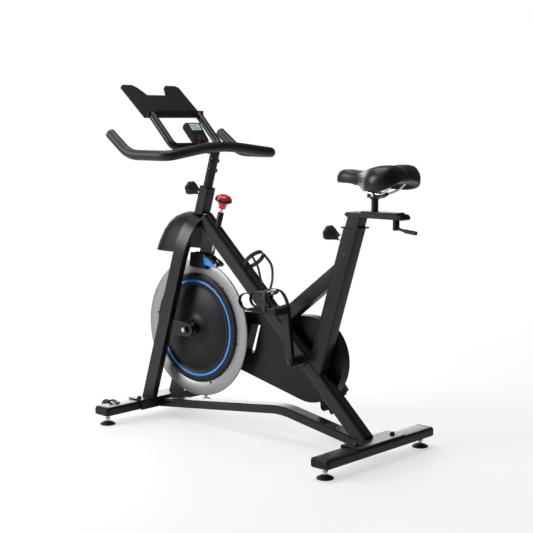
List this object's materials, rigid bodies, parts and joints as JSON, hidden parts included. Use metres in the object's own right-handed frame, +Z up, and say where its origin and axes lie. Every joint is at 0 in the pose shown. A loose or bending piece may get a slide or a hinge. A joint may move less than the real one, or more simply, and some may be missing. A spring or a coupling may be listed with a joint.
{
  "type": "exercise bike",
  "caption": "Indoor cycling bike with a belt-driven flywheel, cranks with toe-cage pedals, adjustable saddle and handlebar with a tablet rest, on a frame with levelling feet.",
  "frame": {"origin": "middle of the whole bike on the floor, under its levelling feet", "axes": "+X the rider's left, +Y from the front to the rear, +Z up"},
  "size_m": [0.5762, 1.2254, 1.2037],
  "materials": {
    "frame_paint": "satin",
    "black_plastic": "matt",
    "dark_rubber": "matt",
    "bare_steel": "brushed",
    "chrome": "polished",
    "flywheel_steel": "brushed",
    "saddle_cover": "semi-gloss",
    "red_plastic": "glossy",
    "screen": "glossy"
  },
  "bodies": {
    "frame": {"main_tube": "frame_paint", "seat_tube": "frame_paint", "brace_tube": "frame_paint", "front_fork": "frame_paint", "head_sleeve": "frame_paint", "base_beam": "frame_paint", "front_stabilizer": "frame_paint", "rear_stabilizer": "frame_paint", "bottom_bracket_shell": "frame_paint", "front_left_end_cap": "black_plastic", "front_right_end_cap": "black_plastic", "rear_left_end_cap": "black_plastic", "rear_right_end_cap": "black_plastic", "front_hood": "black_plastic", "belt_guard_inner": "black_plastic", "belt_guard_outer": "black_plastic", "seat_tube_collar": "black_plastic", "left_axle_bracket": "frame_paint", "right_axle_bracket": "frame_paint", "flywheel_axle": "bare_steel", "resistance_sleeve": "frame_paint", "bottle_cage": "black_plastic", "drive_belt": "dark_rubber"},
    "front_left_foot": {"front_left_foot": "dark_rubber"},
    "front_right_foot": {"front_right_foot": "dark_rubber"},
    "rear_left_foot": {"rear_left_foot": "dark_rubber"},
    "rear_right_foot": {"rear_right_foot": "dark_rubber"},
    "left_transport_wheel": {"left_transport_wheel": "black_plastic"},
    "right_transport_wheel": {"right_transport_wheel": "black_plastic"},
    "flywheel": {"flywheel": "flywheel_steel", "flywheel_cover": "black_plastic", "driven_pulley": "bare_steel"},
    "crankset": {"crank_axle": "bare_steel", "drive_pulley": "black_plastic", "left_crank_arm": "frame_paint", "right_crank_arm": "frame_paint"},
    "left_pedal": {"left_pedal": "black_plastic", "left_toe_cage": "black_plastic", "left_pedal_strap": "dark_rubber"},
    "right_pedal": {"right_pedal": "black_plastic", "right_toe_cage": "black_plastic", "right_pedal_strap": "dark_rubber"},
    "handlebar": {"handlebar_post": "frame_paint", "handlebar": "frame_paint", "device_holder": "frame_paint", "console_body": "black_plastic", "console_screen": "screen"},
    "console_button_1": {"console_button_1": "dark_rubber"},
    "console_button_2": {"console_button_2": "dark_rubber"},
    "console_button_3": {"console_button_3": "dark_rubber"},
    "handlebar_knob": {"handlebar_knob": "black_plastic"},
    "seat_knob": {"seat_knob": "black_plastic"},
    "brake_rod": {"brake_rod": "bare_steel"},
    "resistance_knob": {"resistance_knob": "red_plastic"},
    "brake_arm": {"brake_arm": "black_plastic"},
    "seat_post": {"seat_post": "frame_paint"},
    "seat_slider": {"seat_slider": "frame_paint"},
    "slider_lever": {"slider_lever": "frame_paint"},
    "saddle": {"saddle_rails": "chrome", "saddle": "saddle_cover"}
  },
  "joints": [
    {"name": "flywheel_spin", "type": "hinge", "parent": "frame", "child": "flywheel", "pos_m": [0, -0.3194, 0.3446], "axis": [1, 0, 0], "continuous": true},
    {"name": "crank_spin", "type": "hinge", "parent": "frame", "child": "crankset", "pos_m": [0, 0.1803, 0.297], "axis": [1, 0, 0], "continuous": true},
    {"name": "left_pedal_spin", "type": "hinge", "parent": "crankset", "child": "left_pedal", "pos_m": [0.13, 0.16201, 0.47104], "axis": [1, 0, 0], "continuous": true},
    {"name": "right_pedal_spin", "type": "hinge", "parent": "crankset", "child": "right_pedal", "pos_m": [-0.13, 0.19859, 0.12296], "axis": [1, 0, 0], "continuous": true},
    {"name": "handlebar_height", "type": "slide", "parent": "frame", "child": "handlebar", "axis": [0, 0.2924, 0.9563], "range_m": [0, 0.055]},
    {"name": "console_button_1_press", "type": "slide", "parent": "handlebar", "child": "console_button_1", "axis": [0, -0.794, -0.608], "range_m": [0, 0.0012], "stiffness_N_per_m": 900},
    {"name": "console_button_2_press", "type": "slide", "parent": "handlebar", "child": "console_button_2", "axis": [0, -0.794, -0.608], "range_m": [0, 0.0012], "stiffness_N_per_m": 900},
    {"name": "console_button_3_press", "type": "slide", "parent": "handlebar", "child": "console_button_3", "axis": [0, -0.794, -0.608], "range_m": [0, 0.0012], "stiffness_N_per_m": 900},
    {"name": "handlebar_knob_pull", "type": "slide", "parent": "frame", "child": "handlebar_knob", "axis": [0, -0.9563, 0.2924], "range_m": [0, 0.01], "stiffness_N_per_m": 900},
    {"name": "seat_knob_pull", "type": "slide", "parent": "frame", "child": "seat_knob", "axis": [0, -0.9546, 0.2979], "range_m": [0, 0.01], "stiffness_N_per_m": 900},
    {"name": "seat_height", "type": "slide", "parent": "frame", "child": "seat_post", "axis": [0, 0.2979, 0.9546], "range_m": [-0.02, 0.11]},
    {"name": "seat_fore_aft", "type": "slide", "parent": "seat_post", "child": "seat_slider", "axis": [0, 1, 0], "range_m": [-0.07, 0.003]},
    {"name": "slider_lever_turn", "type": "hinge", "parent": "seat_slider", "child": "slider_lever", "pos_m": [0, 0.5413, 0.76], "axis": [0, 0, 1], "range_deg": [-60, 60]},
    {"name": "saddle_turn", "type": "hinge", "parent": "seat_slider", "child": "saddle", "pos_m": [0, 0.4588, 0.85], "axis": [0, 0, 1], "range_deg": [-12, 12]},
    {"name": "emergency_brake_push", "type": "slide", "parent": "frame", "child": "brake_rod", "axis": [0, -0.2924, -0.9563], "range_m": [0, 0.006], "stiffness_N_per_m": 1500},
    {"name": "resistance_turn", "type": "hinge", "parent": "brake_rod", "child": "resistance_knob", "pos_m": [0, -0.2062, 0.768], "axis": [0, 0.2924, 0.9563], "range_deg": [-720, 0]},
    {"name": "brake_arm_turn", "type": "hinge", "parent": "frame", "child": "brake_arm", "pos_m": [0, -0.2137, 0.5775], "axis": [1, 0, 0], "range_deg": [0, 3.1]},
    {"name": "front_left_foot_turn", "type": "hinge", "parent": "frame", "child": "front_left_foot", "pos_m": [0.248, -0.5347, 0.02], "axis": [0, 0, 1], "continuous": true},
    {"name": "front_right_foot_turn", "type": "hinge", "parent": "frame", "child": "front_right_foot", "pos_m": [-0.248, -0.5347, 0.02], "axis": [0, 0, 1], "continuous": true},
    {"name": "rear_left_foot_turn", "type": "hinge", "parent": "frame", "child": "rear_left_foot", "pos_m": [0.248, 0.4693, 0.02], "axis": [0, 0, 1], "continuous": true},
    {"name": "rear_right_foot_turn", "type": "hinge", "parent": "frame", "child": "rear_right_foot", "pos_m": [-0.248, 0.4693, 0.02], "axis": [0, 0, 1], "continuous": true},
    {"name": "left_transport_wheel_spin", "type": "hinge", "parent": "frame", "child": "left_transport_wheel", "pos_m": [0.205, -0.5927, 0.055], "axis": [1, 0, 0], "continuous": true},
    {"name": "right_transport_wheel_spin", "type": "hinge", "parent": "frame", "child": "right_transport_wheel", "pos_m": [-0.205, -0.5927, 0.055], "axis": [1, 0, 0], "continuous": true}
  ],
  "couplings": [
    {"joint": "crank_spin", "follows": "flywheel_spin", "ratio": 0.25},
    {"joint": "brake_arm_turn", "follows": "resistance_turn", "ratio": -0.0041667}
  ]
}
